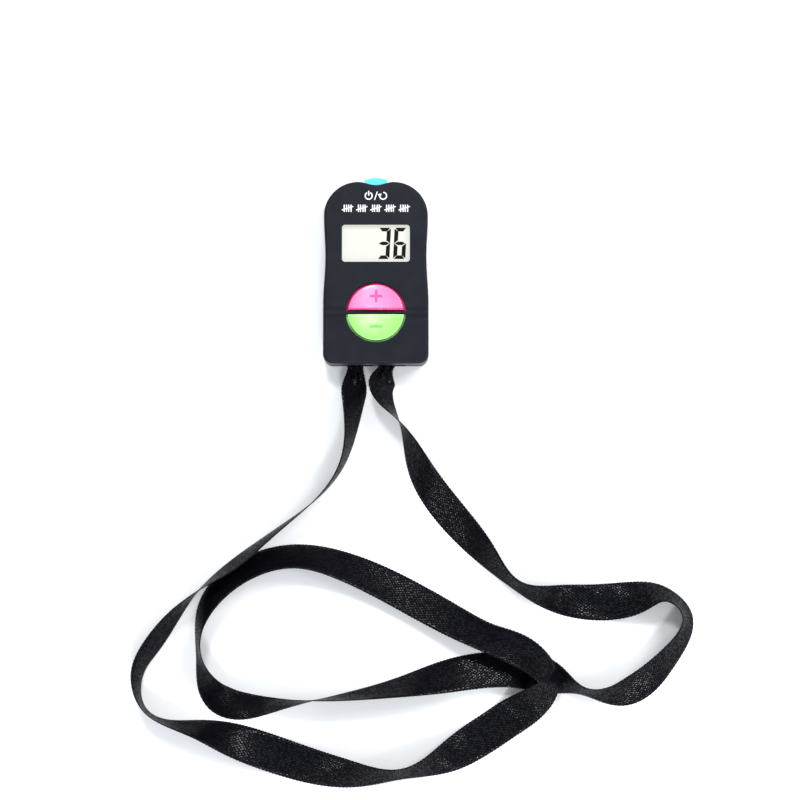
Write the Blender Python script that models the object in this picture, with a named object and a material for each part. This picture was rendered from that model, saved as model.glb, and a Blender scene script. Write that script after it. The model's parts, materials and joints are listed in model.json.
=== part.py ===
"""Digital hand tally counter: two half-round counting keys, a small display and a neck ribbon.

The counter lies on its back. +X is to the right of the face, +Y towards the power key at the top
end, and +Z out of the face. The origin is the middle of the flat back. Every size below is in
millimetres and new_object() turns it into metres.
"""

import math

import bmesh
import bpy
import numpy as np
from mathutils import Vector

MM = 0.001
GAP = 0.3  # clearance between neighbouring pieces
SHARP_ANGLE = 32.0  # degrees: steeper edges stay crisp

# Case
CASE_WIDTH = 38.0
CASE_LENGTH = 66.0
CASE_THICKNESS = 13.0
WALL = 1.5  # side wall of the front shell
FRONT_WALL = 1.6
BACK_WALL = 1.5
RIM_ROUND = 1.0  # rounding of the front and back rims
BOTTOM_CORNER = 3.4
TOP_ARC = 12.4  # radius of the two shoulders
SHOULDER_WIDTH = 37.6
WAIST_WIDTH = 36.5
WAIST_Y = 5.6
STRAIGHT_Y = -11.5  # below this height the sides are straight
DIP = 1.15  # depth of the hollow between the shoulders
PARTING_Z = 5.6  # lower rim of the front shell
BACK_RIM_Z = PARTING_Z - GAP
LIP_Z = 6.4  # top of the back shell's locating lip
LIP_INSET = WALL + GAP
BACK_INSET = 2.5  # the back shell's wall, lip included
CEILING_Z = CASE_THICKNESS - FRONT_WALL
TOP_Y = CASE_LENGTH / 2
DIP_Y = TOP_Y - DIP

# Counting keys: two half discs in one round opening, with a bar of the case between them
KEY_CENTRE_Y = -14.55
KEY_RADIUS = 10.1
KEY_OPENING_RADIUS = 10.8
BAR_HALF = 0.5
KEY_FLAT = BAR_HALF + GAP
KEY_FLANGE_RADIUS = 11.4
KEY_FLANGE_FLAT = 0.65
KEY_FLANGE_Z = (10.2, 11.1)
KEY_DOME_Z = 14.3  # top of the shallow dome that both keys share
KEY_DOME_RADIUS = 60.0
KEY_SWITCH_Y = 5.6  # distance of each switch from the keys' centre
SIDE_GROOVE_OFFSET = (1.5, 1.2)  # middle of the upper and of the lower groove from the bar
GROOVE_WIDTH = 1.0
GROOVE_DEPTH = 0.3

# Display, from the window down to the board
DISPLAY_Y = 10.55
WINDOW_SIZE = (24.5, 13.5)  # opening in the face
WINDOW_CORNER = 1.1
WINDOW_REBATE = (27.0, 16.0)
REBATE_Z = 12.1
GLASS_SIZE = (27.2, 17.0)
SHEET_SIZE = (25.2, 14.2)
FRAME_OUTER = (30.4, 20.2)
FRAME_INNER = (27.8, 17.6)

# Board and what is on it
BOARD_Z = (7.0, 7.8)
BOARD_SCREW = (12.6, -1.8)
SWITCH_SIZE = 6.0

# Power key in the hollow at the top end
POWER_WIDTH = 8.1
POWER_TIP_Y = 35.0
POWER_SIDE_Y = 34.2
POWER_Z = (5.9, 9.8)
POWER_FLANGE_Y = (28.2, 29.6)

# Button cell, its bay and the sliding door
CELL_Y = 14.2
CELL_RADIUS = 5.8
CELL_Z = (1.8, 4.85)
BAY_RADIUS = 6.1
BAY_WALL = 1.0
RING_TOP_Z = 4.8
PAD_TOP_Z = 2.8
DOOR_WIDTH = 13.6
DOOR_Y = (6.4, 21.8)
DOOR_Z = (0.1, 1.5)
DOOR_TRAVEL = 4.0
TONGUE_REACH = 1.1
TONGUE_LENGTH = 3.0
TONGUE_Y = (8.0, 17.0)  # lower end of each pair of tongues, door shut
LIP_THICKNESS = 0.6
GROOVE_TOP_Z = 1.8

# Case screws and posts: (x, y) of the top pair and of the bottom pair
SCREW_X_Y = ((13.2, 24.0), (14.6, -28.3))
FRONT_POST_RADIUS = 2.3
BACK_POST_RADIUS = 2.8
POST_SPLIT_Z = 6.4

# Neck ribbon
RIBBON_WIDTH = 13.0
RIBBON_THICKNESS = 0.5
RIBBON_SECTIONS = 80
SLOT_CENTRE_X = 5.8
SLOT_WIDTH = 9.6
SLOT_DEPTH = 2.6
SLOT_Z = (1.8, 7.0)
GATHERED = 0.42  # share of its width that the ribbon keeps in a slot
GATHER_LENGTH = 11.0
KNOT_SIZE = (9.0, 4.3, 6.0)
KNOT_PLACES = {"strap_knot_left": (-6.9, -27.95, 4.8), "strap_knot_right": (6.1, -27.95, 4.8)}

# The ribbon's route from the left slot round to the right one: x, y, height of its lower edge
# and roll in degrees. At roll 0 it lies flat and at 90 or -90 it stands on its edge.
ROUTE = (
    (-7.3, -30.6, 2.9, -12), (-8.0, -42.5, 0.0, -46), (-12.7, -69.8, 0.0, -84),
    (-38.0, -94.8, 0.0, -101), (-50.5, -104.5, 0.0, -108), (-64.0, -114.5, 0.0, -92),
    (-80.8, -134.8, 0.0, -66), (-85.0, -142.7, 0.0, -75), (-82.7, -156.6, 0.0, -92),
    (-64.5, -163.5, 0.0, -67), (-48.6, -168.7, 0.0, -26), (-9.2, -179.8, 0.0, 37),
    (8.5, -179.7, 0.0, 67), (48.4, -160.0, 0.5, 0), (61.4, -145.4, 7.0, 50),
    (54.0, -137.2, 5.0, 32), (41.4, -131.7, 2.8, 38), (28.0, -125.4, 1.0, 31),
    (-13.6, -105.0, 0.0, 41), (-29.0, -102.1, 0.0, 50), (-61.2, -120.5, 0.0, 60),
    (-63.1, -139.6, 0.0, 73), (-56.0, -153.2, 0.0, 31), (-38.6, -155.2, 0.0, 58),
    (11.0, -148.3, 0.0, 122), (37.5, -143.2, 0.0, 160), (59.0, -144.5, 0.0, 182),
    (73.0, -149.8, 0.0, 253), (89.0, -151.0, 0.0, 221), (105.0, -138.4, 0.0, 229),
    (111.7, -122.8, 0.0, 247), (103.2, -115.4, 0.0, 245), (93.2, -117.0, 0.0, 208),
    (66.9, -117.6, 0.0, 145), (50.6, -112.4, 0.0, 106), (38.7, -100.4, 0.0, 129),
    (16.3, -71.1, 0.0, 133), (8.1, -53.0, 0.0, 87), (2.1, -41.5, 0.0, 49), (5.2, -30.6, 2.9, 12),
)

# Name: linear colour, roughness, metallic, alpha
FINISHES = {
    "case_plastic": ((0.022, 0.026, 0.036), 0.55, 0.0, 1.0),
    "pink_plastic": ((1.0, 0.24, 0.62), 0.3, 0.0, 1.0),
    "green_plastic": ((0.36, 1.0, 0.18), 0.3, 0.0, 1.0),
    "cyan_plastic": ((0.08, 0.82, 0.92), 0.3, 0.0, 1.0),
    "clear_plastic": ((0.9, 0.95, 0.95), 0.05, 0.0, 0.25),
    "display_face": ((0.9, 0.9, 0.78), 0.4, 0.0, 1.0),
    "glass": ((0.8, 0.9, 0.88), 0.05, 0.0, 0.35),
    "white_plastic": ((0.8, 0.8, 0.78), 0.5, 0.0, 1.0),
    "black_plastic": ((0.015, 0.015, 0.016), 0.45, 0.0, 1.0),
    "silicone": ((0.2, 0.2, 0.22), 0.7, 0.0, 1.0),
    "board": ((0.02, 0.2, 0.07), 0.4, 0.0, 1.0),
    "ceramic": ((0.45, 0.3, 0.18), 0.5, 0.0, 1.0),
    "steel": ((0.6, 0.6, 0.6), 0.3, 1.0, 1.0),
    "brass": ((0.75, 0.55, 0.22), 0.3, 1.0, 1.0),
    "ribbon": ((0.008, 0.008, 0.012), 0.35, 0.0, 1.0),
}


def clear_scene():
    for obj in list(bpy.data.objects):
        bpy.data.objects.remove(obj)


def make_materials():
    materials = {}
    for name, (colour, roughness, metallic, alpha) in FINISHES.items():
        made = bpy.data.materials.new(name)
        made.use_nodes = True
        shader = made.node_tree.nodes["Principled BSDF"]
        shader.inputs["Base Color"].default_value = (*colour, 1.0)
        shader.inputs["Roughness"].default_value = roughness
        shader.inputs["Metallic"].default_value = metallic
        shader.inputs["Alpha"].default_value = alpha
        materials[name] = made
    return materials


# Objects and modifiers


def new_object(name, bm, pivot=(0.0, 0.0, 0.0)):
    """An object from a mesh in millimetres, with its origin at the pivot."""
    bmesh.ops.recalc_face_normals(bm, faces=bm.faces)
    bmesh.ops.translate(bm, verts=bm.verts, vec=-Vector(pivot))
    bmesh.ops.scale(bm, verts=bm.verts, vec=(MM, MM, MM))
    mesh = bpy.data.meshes.new(name)
    bm.to_mesh(mesh)
    bm.free()
    mesh.shade_smooth()
    mesh.set_sharp_from_angle(angle=math.radians(SHARP_ANGLE))
    obj = bpy.data.objects.new(name, mesh)
    obj.location = Vector(pivot) * MM
    bpy.context.scene.collection.objects.link(obj)
    return obj


def new_part(name, bm, finish, pivot=(0.0, 0.0, 0.0)):
    obj = new_object(name, bm, pivot)
    obj.data.materials.append(finish)
    return obj


def combine(obj, bm, operation):
    """Adds a Boolean with a hidden helper made from the mesh."""
    count = sum(1 for modifier in obj.modifiers if modifier.type == "BOOLEAN")
    helper = new_object(f"{obj.name}_helper_{count + 1}", bm)
    helper.hide_render = True
    helper.display_type = "WIRE"
    modifier = obj.modifiers.new(f"{operation.lower()}_{count + 1}", "BOOLEAN")
    modifier.operation = operation
    modifier.solver = "EXACT"
    modifier.object = helper


# Outlines: closed lists of (x, y), counter-clockwise


def arc(centre_x, centre_y, radius, start, end, steps):
    angles = np.radians(np.linspace(start, end, steps + 1))
    return [(centre_x + radius * math.cos(a), centre_y + radius * math.sin(a)) for a in angles]


def circle(centre_x, centre_y, radius, steps):
    return arc(centre_x, centre_y, radius, 0, 360, steps)[:-1]


def rectangle(low_x, low_y, high_x, high_y):
    return [(low_x, low_y), (high_x, low_y), (high_x, high_y), (low_x, high_y)]


def rounded_rectangle(centre_y, size, corner, steps=4):
    half_x = size[0] / 2 - corner
    half_y = size[1] / 2 - corner
    corners = ((half_x, -half_y, -90), (half_x, half_y, 0), (-half_x, half_y, 90), (-half_x, -half_y, 180))
    points = []
    for x, y, start in corners:
        points += arc(x, centre_y + y, corner, start, start + 90, steps)
    return points


def half_disc(radius, flat, side, steps=28):
    """Half of the round key opening: side is 1 for the upper half and -1 for the lower one."""
    start = math.degrees(math.asin(flat / radius))
    points = arc(0.0, 0.0, radius, start, 180 - start, steps)
    reach = radius * math.cos(math.radians(start))
    points += [(reach * share, flat) for share in (-0.6, -0.2, 0.2, 0.6)]
    return [(side * x, KEY_CENTRE_Y + side * y) for x, y in points]


def inset(points, distance):
    """The closed outline moved inwards, with its corners kept sharp."""
    ring = np.array(points)
    edges = np.roll(ring, -1, axis=0) - ring
    edges /= np.linalg.norm(edges, axis=1)[:, None]
    after = np.stack([edges[:, 1], -edges[:, 0]], axis=1)
    before = np.roll(after, 1, axis=0)
    spread = 1 + (after * before).sum(axis=1)
    moved = ring - distance * (after + before) / spread[:, None]
    return [tuple(point) for point in moved]


def case_half_width(y):
    """Half the case's width: straight at the bottom, drawn in at the waist."""
    if y <= STRAIGHT_Y:
        return CASE_WIDTH / 2
    if y <= WAIST_Y:
        share = (y - STRAIGHT_Y) / (WAIST_Y - STRAIGHT_Y)
        low, high = CASE_WIDTH / 2, WAIST_WIDTH / 2
    else:
        share = (y - WAIST_Y) / (TOP_Y - TOP_ARC - WAIST_Y)
        low, high = WAIST_WIDTH / 2, SHOULDER_WIDTH / 2
    return low + (high - low) * (1 - math.cos(math.pi * share)) / 2


def case_outline():
    """The outline of the case: square foot, slim waist, two round shoulders with a hollow between."""
    foot_x = CASE_WIDTH / 2 - BOTTOM_CORNER
    foot_y = -TOP_Y + BOTTOM_CORNER
    shoulder_x = SHOULDER_WIDTH / 2 - TOP_ARC
    shoulder_y = TOP_Y - TOP_ARC
    right = arc(foot_x, foot_y, BOTTOM_CORNER, -90, 0, 6)
    right += [(case_half_width(y), y) for y in np.linspace(STRAIGHT_Y, shoulder_y, 12)[:-1]]
    right += arc(shoulder_x, shoulder_y, TOP_ARC, 0, 90, 12)
    for share in (0.8, 0.6, 0.4, 0.2):
        drop = DIP * (1 + math.cos(math.pi * share)) / 2
        right.append((shoulder_x * share, TOP_Y - drop))
    left = [(-x, y) for x, y in reversed(right)]
    return [*right, (0.0, DIP_Y), *left]


# Solids


def at_z(points, z):
    return [(x, y, z) for x, y in points]


def add_loft(bm, loops):
    """A closed solid through loops of equal length; its first and last loops are filled."""
    rings = [[bm.verts.new(point) for point in loop] for loop in loops]
    bm.faces.new(reversed(rings[0]))
    for low, high in zip(rings, rings[1:]):
        for here in range(len(low)):
            after = (here + 1) % len(low)
            bm.faces.new((low[here], low[after], high[after], high[here]))
    bm.faces.new(rings[-1])


def add_prism(bm, points, low_z, high_z):
    add_loft(bm, [at_z(points, low_z), at_z(points, high_z)])


def add_box(bm, low, high):
    add_prism(bm, rectangle(low[0], low[1], high[0], high[1]), low[2], high[2])


def add_turned(bm, centre, profile, steps=20):
    """A solid turned about an upright axis through the centre: profile is (radius, z) pairs."""
    add_loft(bm, [at_z(circle(*centre, radius, steps), z) for radius, z in profile])


def mirrored_x(places):
    return [(sign * x, y) for x, y in places for sign in (-1, 1)]


def prism(points, low_z, high_z):
    bm = bmesh.new()
    add_prism(bm, points, low_z, high_z)
    return bm


def box(low, high):
    bm = bmesh.new()
    add_box(bm, low, high)
    return bm


def box_x(half_x, low_y, high_y, low_z, high_z):
    return box((-half_x, low_y, low_z), (half_x, high_y, high_z))


def extruded_along(axis, points, low, high):
    """A prism along X or Y from points given in the other two coordinates."""
    bm = bmesh.new()
    if axis == "X":
        loops = [[(place, a, b) for a, b in points] for place in (low, high)]
    else:
        loops = [[(a, place, b) for a, b in points] for place in (low, high)]
    add_loft(bm, loops)
    return bm


# Case shells


def front_case(finish):
    outline = case_outline()
    rounded = [
        at_z(inset(outline, RIM_ROUND * (1 - math.cos(a))), CASE_THICKNESS - RIM_ROUND * (1 - math.sin(a)))
        for a in np.radians((0, 30, 60, 90))
    ]
    inner = inset(outline, WALL)
    bm = bmesh.new()
    add_loft(bm, [at_z(inner, CEILING_Z), at_z(inner, PARTING_Z), at_z(outline, PARTING_Z), *rounded])
    shell = new_part("front_case", bm, finish)

    posts = bmesh.new()
    embedded = CEILING_Z + 0.5
    for place in mirrored_x(SCREW_X_Y):
        add_turned(posts, place, ((FRONT_POST_RADIUS, POST_SPLIT_Z), (FRONT_POST_RADIUS, embedded)))
    for place in mirrored_x([BOARD_SCREW]):
        add_turned(posts, place, ((1.7, BOARD_Z[1] + GAP), (1.7, embedded)))
    combine(shell, posts, "UNION")

    openings = bmesh.new()
    window = at_z(rounded_rectangle(DISPLAY_Y, WINDOW_SIZE, WINDOW_CORNER), REBATE_Z)
    rebate = at_z(rounded_rectangle(DISPLAY_Y, WINDOW_REBATE, WINDOW_CORNER), REBATE_Z)
    above = [(x, y, CASE_THICKNESS + 1) for x, y, _ in window]
    below = [(x, y, CEILING_Z - 1) for x, y, _ in rebate]
    add_loft(openings, [below, rebate, window, above])
    for side in (1, -1):
        add_prism(openings, half_disc(KEY_OPENING_RADIUS, BAR_HALF, side), CEILING_Z - 1, CASE_THICKNESS + 1)
    notch_x = POWER_WIDTH / 2 + GAP
    add_box(openings, (-notch_x, POWER_FLANGE_Y[1], PARTING_Z - 1), (notch_x, TOP_Y + 1, POWER_Z[1] + GAP))
    for place in mirrored_x(SCREW_X_Y):
        add_turned(openings, place, ((0.95, POST_SPLIT_Z - 1), (0.95, 10.4)), 12)
    for place in mirrored_x([BOARD_SCREW]):
        add_turned(openings, place, ((0.85, BOARD_Z[1] - 1), (0.85, 11.0)), 12)
    combine(shell, openings, "DIFFERENCE")

    grooves = bmesh.new()
    for side, offset in zip((1, -1), SIDE_GROOVE_OFFSET):
        middle = KEY_CENTRE_Y + side * offset
        for low_x, high_x in ((-CASE_WIDTH, -KEY_RADIUS), (KEY_RADIUS, CASE_WIDTH)):
            low = (low_x, middle - GROOVE_WIDTH / 2, CASE_THICKNESS - GROOVE_DEPTH)
            add_box(grooves, low, (high_x, middle + GROOVE_WIDTH / 2, CASE_THICKNESS + 1))
    combine(shell, grooves, "DIFFERENCE")


def back_case(finish):
    outline = case_outline()
    rounded = [
        at_z(inset(outline, RIM_ROUND * (1 - math.sin(a))), RIM_ROUND * (1 - math.cos(a)))
        for a in np.radians((0, 30, 60, 90))
    ]
    lip = inset(outline, LIP_INSET)
    inner = inset(outline, BACK_INSET)
    bm = bmesh.new()
    upper = [at_z(outline, BACK_RIM_Z), at_z(lip, BACK_RIM_Z), at_z(lip, LIP_Z)]
    add_loft(bm, [*rounded, *upper, at_z(inner, LIP_Z), at_z(inner, BACK_WALL)])
    shell = new_part("back_case", bm, finish)

    inside = bmesh.new()
    for place in mirrored_x(SCREW_X_Y):
        profile = ((BACK_POST_RADIUS, BACK_WALL - GAP), (BACK_POST_RADIUS, POST_SPLIT_Z - GAP))
        add_turned(inside, place, profile)
    add_box(inside, (-9.8, 1.5, BACK_WALL - GAP), (9.8, 23.0, PAD_TOP_Z))
    add_box(inside, (-17.0, -25.3, BACK_WALL - GAP), (17.0, -24.3, 6.3))
    combine(shell, inside, "UNION")
    ring = bmesh.new()
    outer = BAY_RADIUS + BAY_WALL
    add_turned(ring, (0, CELL_Y), ((outer, PAD_TOP_Z - 0.5), (outer, RING_TOP_Z)), 32)
    combine(shell, ring, "UNION")

    half = DOOR_WIDTH / 2 + GAP
    reach = half + TONGUE_REACH
    track = [
        (-half, -1.0), (half, -1.0), (half, LIP_THICKNESS), (reach, LIP_THICKNESS),
        (reach, GROOVE_TOP_Z), (-reach, GROOVE_TOP_Z), (-reach, LIP_THICKNESS), (-half, LIP_THICKNESS),
    ]
    low_y = DOOR_Y[0] - DOOR_TRAVEL - GAP
    combine(shell, extruded_along("Y", track, low_y, DOOR_Y[1] + GAP), "DIFFERENCE")

    second = bmesh.new()
    add_turned(second, (0, CELL_Y), ((BAY_RADIUS, BACK_WALL), (BAY_RADIUS, RING_TOP_Z + 1)), 32)
    for side in (-1, 1):
        for tongue_y in TONGUE_Y:
            low = tongue_y - DOOR_TRAVEL - 0.2
            ends = sorted((side * (half - 0.2), side * reach))
            notch_top = LIP_THICKNESS + 0.3
            add_box(second, (ends[0], low, -1.0), (ends[1], low + TONGUE_LENGTH + 0.4, notch_top))
        slot_low = side * SLOT_CENTRE_X - SLOT_WIDTH / 2
        low = (slot_low, -TOP_Y - 1, SLOT_Z[0])
        add_box(second, low, (slot_low + SLOT_WIDTH, -TOP_Y + SLOT_DEPTH + 0.1, SLOT_Z[1]))
    for place in mirrored_x(SCREW_X_Y):
        add_turned(second, place, ((2.1, -1), (2.1, 1.6), (1.15, 1.6), (1.15, POST_SPLIT_Z + 1)), 16)
    add_box(second, (-5.8, 26.5, BACK_RIM_Z), (5.8, TOP_Y + 1, LIP_Z + 1))
    combine(shell, second, "DIFFERENCE")
    contact = box((BAY_RADIUS - 0.4, 12.4, 2.2), (BAY_RADIUS + BAY_WALL + 0.3, 16.0, RING_TOP_Z + 1))
    combine(shell, contact, "DIFFERENCE")


# Keys and switches


def key(name, side, flat_bevel, finish):
    """A half-round key: a flange under the case, a straight body and a shallow dome."""

    def domed(depth, flat_depth, sink):
        points = half_disc(KEY_RADIUS - depth, KEY_FLAT + flat_depth, side)
        loop = []
        for x, y in points:
            spread = x * x + (y - KEY_CENTRE_Y) ** 2
            loop.append((x, y, KEY_DOME_Z - sink - spread / (2 * KEY_DOME_RADIUS)))
        return loop

    flange = half_disc(KEY_FLANGE_RADIUS, KEY_FLANGE_FLAT, side)
    body = half_disc(KEY_RADIUS, KEY_FLAT, side)
    loops = [at_z(flange, KEY_FLANGE_Z[0]), at_z(flange, KEY_FLANGE_Z[1]), at_z(body, KEY_FLANGE_Z[1])]
    for depth, share, sink in ((0, 0, 0.8), (0.12, 0.3, 0.42), (0.4, 0.65, 0.12), (0.9, 1.0, 0)):
        loops.append(domed(depth, share * flat_bevel, sink))
    loops.append(domed(2.0, flat_bevel + 0.9, 0))
    loops.append(domed(3.3, flat_bevel + 2.0, 0))
    bm = bmesh.new()
    add_loft(bm, loops)
    new_part(name, bm, finish, (0.0, KEY_CENTRE_Y + side * KEY_SWITCH_Y, KEY_FLANGE_Z[0]))


def key_switch(label, side, black, white):
    """A tactile switch on the board and its plunger, which the key pushes."""
    centre = (0.0, KEY_CENTRE_Y + side * KEY_SWITCH_Y)
    half = SWITCH_SIZE / 2
    low_z = BOARD_Z[1] + GAP
    corners = rectangle(-half, centre[1] - half, half, centre[1] + half)
    body = new_part(f"{label}_switch", prism(corners, low_z, 9.4), black)
    hole = bmesh.new()
    add_turned(hole, centre, ((1.75, low_z - 1), (1.75, 10.4)), 20)
    combine(body, hole, "DIFFERENCE")
    plunger = bmesh.new()
    top = KEY_FLANGE_Z[0] - GAP
    add_turned(plunger, centre, ((1.4, 8.95), (1.4, top - 0.15), (1.2, top)), 20)
    new_part(f"{label}_plunger", plunger, white, (*centre, 8.95))


def power_key(finish):
    """The lens-shaped key in the hollow, held in by a flange behind the wall."""
    half = POWER_WIDTH / 2
    rise = POWER_TIP_Y - POWER_SIDE_Y
    radius = (half * half + rise * rise) / (2 * rise)
    swing = math.degrees(math.asin(half / radius))
    tip = arc(0.0, POWER_TIP_Y - radius, radius, 90 - swing, 90 + swing, 12)
    low_y, high_y = POWER_FLANGE_Y
    wide = half + 1.05
    flange = rectangle(-wide, low_y, wide, high_y)
    outline = [(-half, high_y), flange[3], flange[0], flange[1], flange[2], (half, high_y), *tip]
    low_z, high_z = POWER_Z
    steps = ((0.35, low_z), (0.1, low_z + 0.15), (0, low_z + 0.4))
    steps += ((0, high_z - 0.4), (0.1, high_z - 0.15), (0.35, high_z))
    bm = bmesh.new()
    add_loft(bm, [at_z(inset(outline, depth), z) for depth, z in steps])
    new_part("power_button", bm, finish, (0.0, POWER_FLANGE_Y[0], (low_z + high_z) / 2))


def power_switch(black, white):
    body = new_part("power_switch", box_x(3.0, 23.1, 26.6, 5.9, 9.1), black)
    combine(body, box_x(1.4, 24.4, 27.6, 6.6, 8.6), "DIFFERENCE")
    tip = POWER_FLANGE_Y[0] - GAP
    new_part("power_plunger", box_x(1.1, 25.6, tip, 6.9, 8.3), white, (0.0, 25.6, 7.6))


# Display and board


def sheet(name, size, low_z, high_z, finish, corner=0.4):
    new_part(name, prism(rounded_rectangle(DISPLAY_Y, size, corner, 2), low_z, high_z), finish)


def display(materials):
    flange = rounded_rectangle(DISPLAY_Y, (26.4, 15.4), WINDOW_CORNER)
    boss = rounded_rectangle(DISPLAY_Y, (WINDOW_SIZE[0] - 2 * GAP, WINDOW_SIZE[1] - 2 * GAP), 0.8)
    flange_top = REBATE_Z - GAP
    bm = bmesh.new()
    add_loft(bm, [at_z(flange, 11.1), at_z(flange, flange_top), at_z(boss, flange_top), at_z(boss, 12.7)])
    new_part("display_window", bm, materials["clear_plastic"])
    sheet("lcd_polariser", SHEET_SIZE, 10.65, 10.8, materials["display_face"])
    sheet("lcd_glass", GLASS_SIZE, 9.25, 10.35, materials["glass"])
    sheet("lcd_reflector", SHEET_SIZE, 8.8, 8.95, materials["white_plastic"])
    frame_outline = rounded_rectangle(DISPLAY_Y, FRAME_OUTER, 1.0, 3)
    frame = new_part("lcd_frame", prism(frame_outline, 8.1, 10.8), materials["white_plastic"])
    combine(frame, prism(rounded_rectangle(DISPLAY_Y, FRAME_INNER, 0.5, 2), 7.0, 12.0), "DIFFERENCE")
    new_part("zebra_strip", box_x(12.2, 2.25, 3.1, 8.1, 8.95), materials["silicone"])


def circuit_board(materials):
    low_z, high_z = BOARD_Z
    edge = [
        (-15.2, -23.4), (15.2, -23.4), (15.2, 19.5), (9.9, 19.5),
        (9.9, 22.8), (-9.9, 22.8), (-9.9, 19.5), (-15.2, 19.5),
    ]
    board = new_part("circuit_board", prism(edge, low_z, high_z), materials["board"])
    holes = bmesh.new()
    for place in mirrored_x([BOARD_SCREW]):
        add_turned(holes, place, ((0.9, low_z - 1), (0.9, high_z + 1)), 12)
    combine(board, holes, "DIFFERENCE")
    under = low_z - GAP
    chip = bmesh.new()
    profile = ((1.5, under - 1.1), (3.0, under - 0.9), (3.8, under - 0.4), (4.0, under))
    add_turned(chip, (0, -6.0), profile, 24)
    new_part("chip_cover", chip, materials["black_plastic"])
    new_part("capacitor", box((-9.6, -14.8, under - 1.3), (-6.4, -13.2, under)), materials["ceramic"])
    new_part("resistor", box((7.0, -14.6, under - 0.5), (9.0, -13.4, under)), materials["black_plastic"])


# Fasteners


def screws(names, places, profile, recess, finish):
    """Cross-head screws that share one mesh: profile is (radius, z) pairs from the head up."""
    first = None
    arm, width, depth = recess
    head_z = profile[0][1]
    for name, place in zip(names, places):
        if first is None:
            bm = bmesh.new()
            add_turned(bm, (0.0, 0.0), profile, 16)
            first = new_part(name, bm, finish)
            cross = [
                (-width, -arm), (width, -arm), (width, -width), (arm, -width), (arm, width), (width, width),
                (width, arm), (-width, arm), (-width, width), (-arm, width), (-arm, -width), (-width, -width),
            ]
            combine(first, prism(cross, head_z - 1, head_z + depth), "DIFFERENCE")
            cut = first.evaluated_get(bpy.context.evaluated_depsgraph_get())
            whole = bpy.data.meshes.new_from_object(cut)
            bpy.data.objects.remove(first.modifiers[0].object)
            first.modifiers.clear()
            first.data = whole
            screw = first
        else:
            screw = bpy.data.objects.new(name, first.data)
            bpy.context.scene.collection.objects.link(screw)
        screw.location = (place[0] * MM, place[1] * MM, 0.0)


def fasteners(finish):
    names = [f"case_screw_{number}" for number in range(1, 5)]
    head = ((1.5, 0.25), (1.8, 0.5), (1.8, 1.3), (0.65, 1.3), (0.65, 9.4), (0.3, 9.9))
    screws(names, mirrored_x(SCREW_X_Y), head, (1.0, 0.2, 0.55), finish)
    under = BOARD_Z[0] - GAP
    head = ((1.2, under - 0.8), (1.45, under - 0.5), (1.45, under), (0.55, under), (0.55, 10.4), (0.3, 10.7))
    screws(["board_screw_1", "board_screw_2"], mirrored_x([BOARD_SCREW]), head, (0.8, 0.16, 0.35), finish)


# Button cell, contacts and door


def power_supply(materials):
    cell = bmesh.new()
    low_z, high_z = CELL_Z
    edge = CELL_RADIUS - 0.25
    profile = ((edge, low_z), (CELL_RADIUS, low_z + 0.25), (CELL_RADIUS, high_z - 0.6))
    profile += ((CELL_RADIUS - 0.3, high_z - 0.35), (4.9, high_z - 0.3), (4.7, high_z))
    add_turned(cell, (0, CELL_Y), profile, 32)
    new_part("battery_cell", cell, materials["steel"])
    under = BOARD_Z[0] - GAP
    side = [(6.15, 2.5), (6.4, 2.5), (6.4, under - 0.25), (8.4, under - 0.25), (8.4, under), (6.15, under)]
    plus = bmesh.new()
    add_loft(plus, [[(x, y, z) for x, z in side] for y in (12.9, 15.5)])
    new_part("battery_positive_contact", plus, materials["brass"])
    low = high_z + GAP
    leaf = [(9.0, low), (22.3, low), (22.3, under), (22.05, under), (22.05, low + 0.25), (9.0, low + 0.25)]
    new_part("battery_negative_contact", extruded_along("X", leaf, -1.2, 1.2), materials["brass"])


def battery_door(finish):
    half = DOOR_WIDTH / 2
    pivot = (0.0, sum(DOOR_Y) / 2, DOOR_Z[0])
    door = new_part("battery_door", box_x(half, *DOOR_Y, *DOOR_Z), finish, pivot)
    tongues = bmesh.new()
    reach = half + TONGUE_REACH
    for low_y in TONGUE_Y:
        add_box(tongues, (-reach, low_y, 0.9), (reach, low_y + TONGUE_LENGTH, DOOR_Z[1]))
    combine(door, tongues, "UNION")
    ridges = bmesh.new()
    for number in range(5):
        low_y = 8.2 + 1.2 * number
        add_box(ridges, (-4.0, low_y, -1.0), (4.0, low_y + 0.6, DOOR_Z[0] + 0.3))
    combine(door, ridges, "DIFFERENCE")


# Neck ribbon


def natural_spline(knots, values, places):
    """The smooth curve through the values, with no bending at its two ends."""
    count = len(knots)
    step = np.diff(knots)
    matrix = np.eye(count)
    right = np.zeros((count, values.shape[1]))
    for i in range(1, count - 1):
        matrix[i, i - 1 : i + 2] = step[i - 1], 2 * (step[i - 1] + step[i]), step[i]
        right[i] = 6 * ((values[i + 1] - values[i]) / step[i] - (values[i] - values[i - 1]) / step[i - 1])
    bend = np.linalg.solve(matrix, right)
    here = np.clip(np.searchsorted(knots, places, side="right") - 1, 0, count - 2)
    width = step[here][:, None]
    done = (places - knots[here])[:, None]
    left = width - done
    curve = (bend[here] * left**3 + bend[here + 1] * done**3) / (6 * width)
    curve += (values[here] / width - bend[here] * width / 6) * left
    return curve + (values[here + 1] / width - bend[here + 1] * width / 6) * done


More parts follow.
